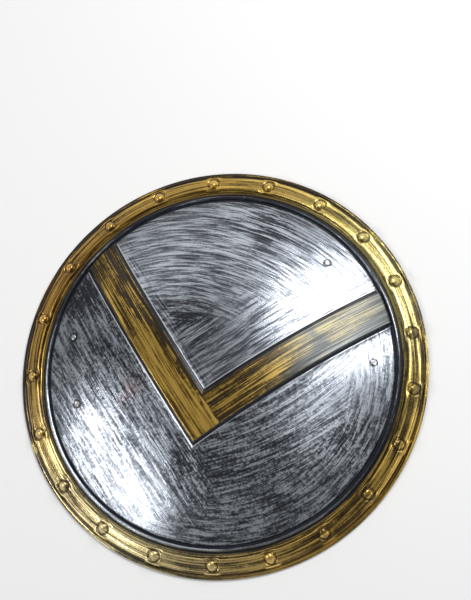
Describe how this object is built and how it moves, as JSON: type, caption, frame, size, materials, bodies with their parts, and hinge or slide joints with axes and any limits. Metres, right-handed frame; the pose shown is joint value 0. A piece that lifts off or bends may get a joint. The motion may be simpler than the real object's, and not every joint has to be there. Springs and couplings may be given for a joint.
{
  "type": "gladiator shield",
  "caption": "Round domed gladiator costume shield in painted plastic: raised gold chevron, bossed gold rim, open back with webbing straps.",
  "frame": {"origin": "centre of the flat underside of the rim, on which the shield lies face up", "axes": "+Z out of the face; +X along the wearer's forearm, from the hand strap to the arm strap; the chevron opens 67.2 degrees from +X towards +Y"},
  "size_m": [0.5198, 0.5198, 0.0697],
  "materials": {
    "painted_shell": "moulded plastic, black undercoat dry-brushed silver on the field and gold on the rim and chevron",
    "webbing": "black woven elastic webbing",
    "rivet_metal": "nickelled steel"
  },
  "bodies": {
    "root": {"shield_shell": "painted_shell", "hand_strap": "webbing", "arm_strap": "webbing", "hand_rivet_a": "rivet_metal", "hand_rivet_b": "rivet_metal", "arm_rivet_a": "rivet_metal", "arm_rivet_b": "rivet_metal"}
  },
  "joints": []
}
